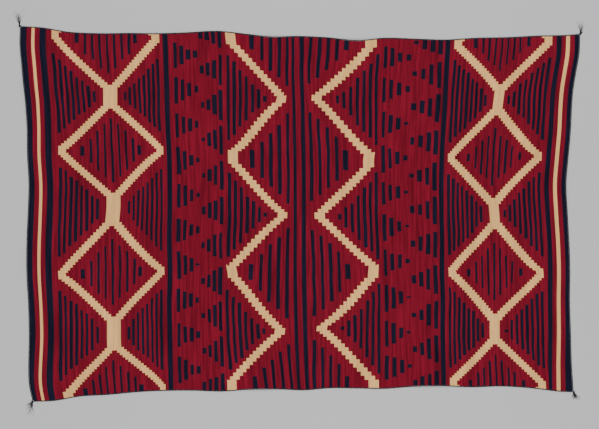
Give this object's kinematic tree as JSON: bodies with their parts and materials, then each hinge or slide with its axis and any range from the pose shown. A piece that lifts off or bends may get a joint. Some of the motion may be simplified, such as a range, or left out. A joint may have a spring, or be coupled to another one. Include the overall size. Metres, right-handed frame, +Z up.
{
  "type": "serape",
  "caption": "Handwoven wool wearing blanket lying flat, with stepped zigzag, lozenge and bar bands, twined edge cords and a knotted tassel at each corner.",
  "frame": {"origin": "on the cloth's underside, at the middle of the cloth", "axes": "+X along the length, +Y towards the upper long edge, +Z up, out of the face that shows"},
  "size_m": [1.8972, 1.3457, 0.0077],
  "materials": {
    "tapestry_wool": "weft-faced tapestry weave",
    "cord_wool": "twined yarn",
    "tassel_wool": "loose yarn"
  },
  "bodies": {
    "root": {"serape_cloth": "tapestry_wool", "upper_edge_cord": "cord_wool", "lower_edge_cord": "cord_wool", "left_end_cord": "cord_wool", "right_end_cord": "cord_wool", "tassel_upper_left": "tassel_wool", "tassel_upper_right": "tassel_wool", "tassel_lower_left": "tassel_wool", "tassel_lower_right": "tassel_wool"}
  },
  "joints": []
}
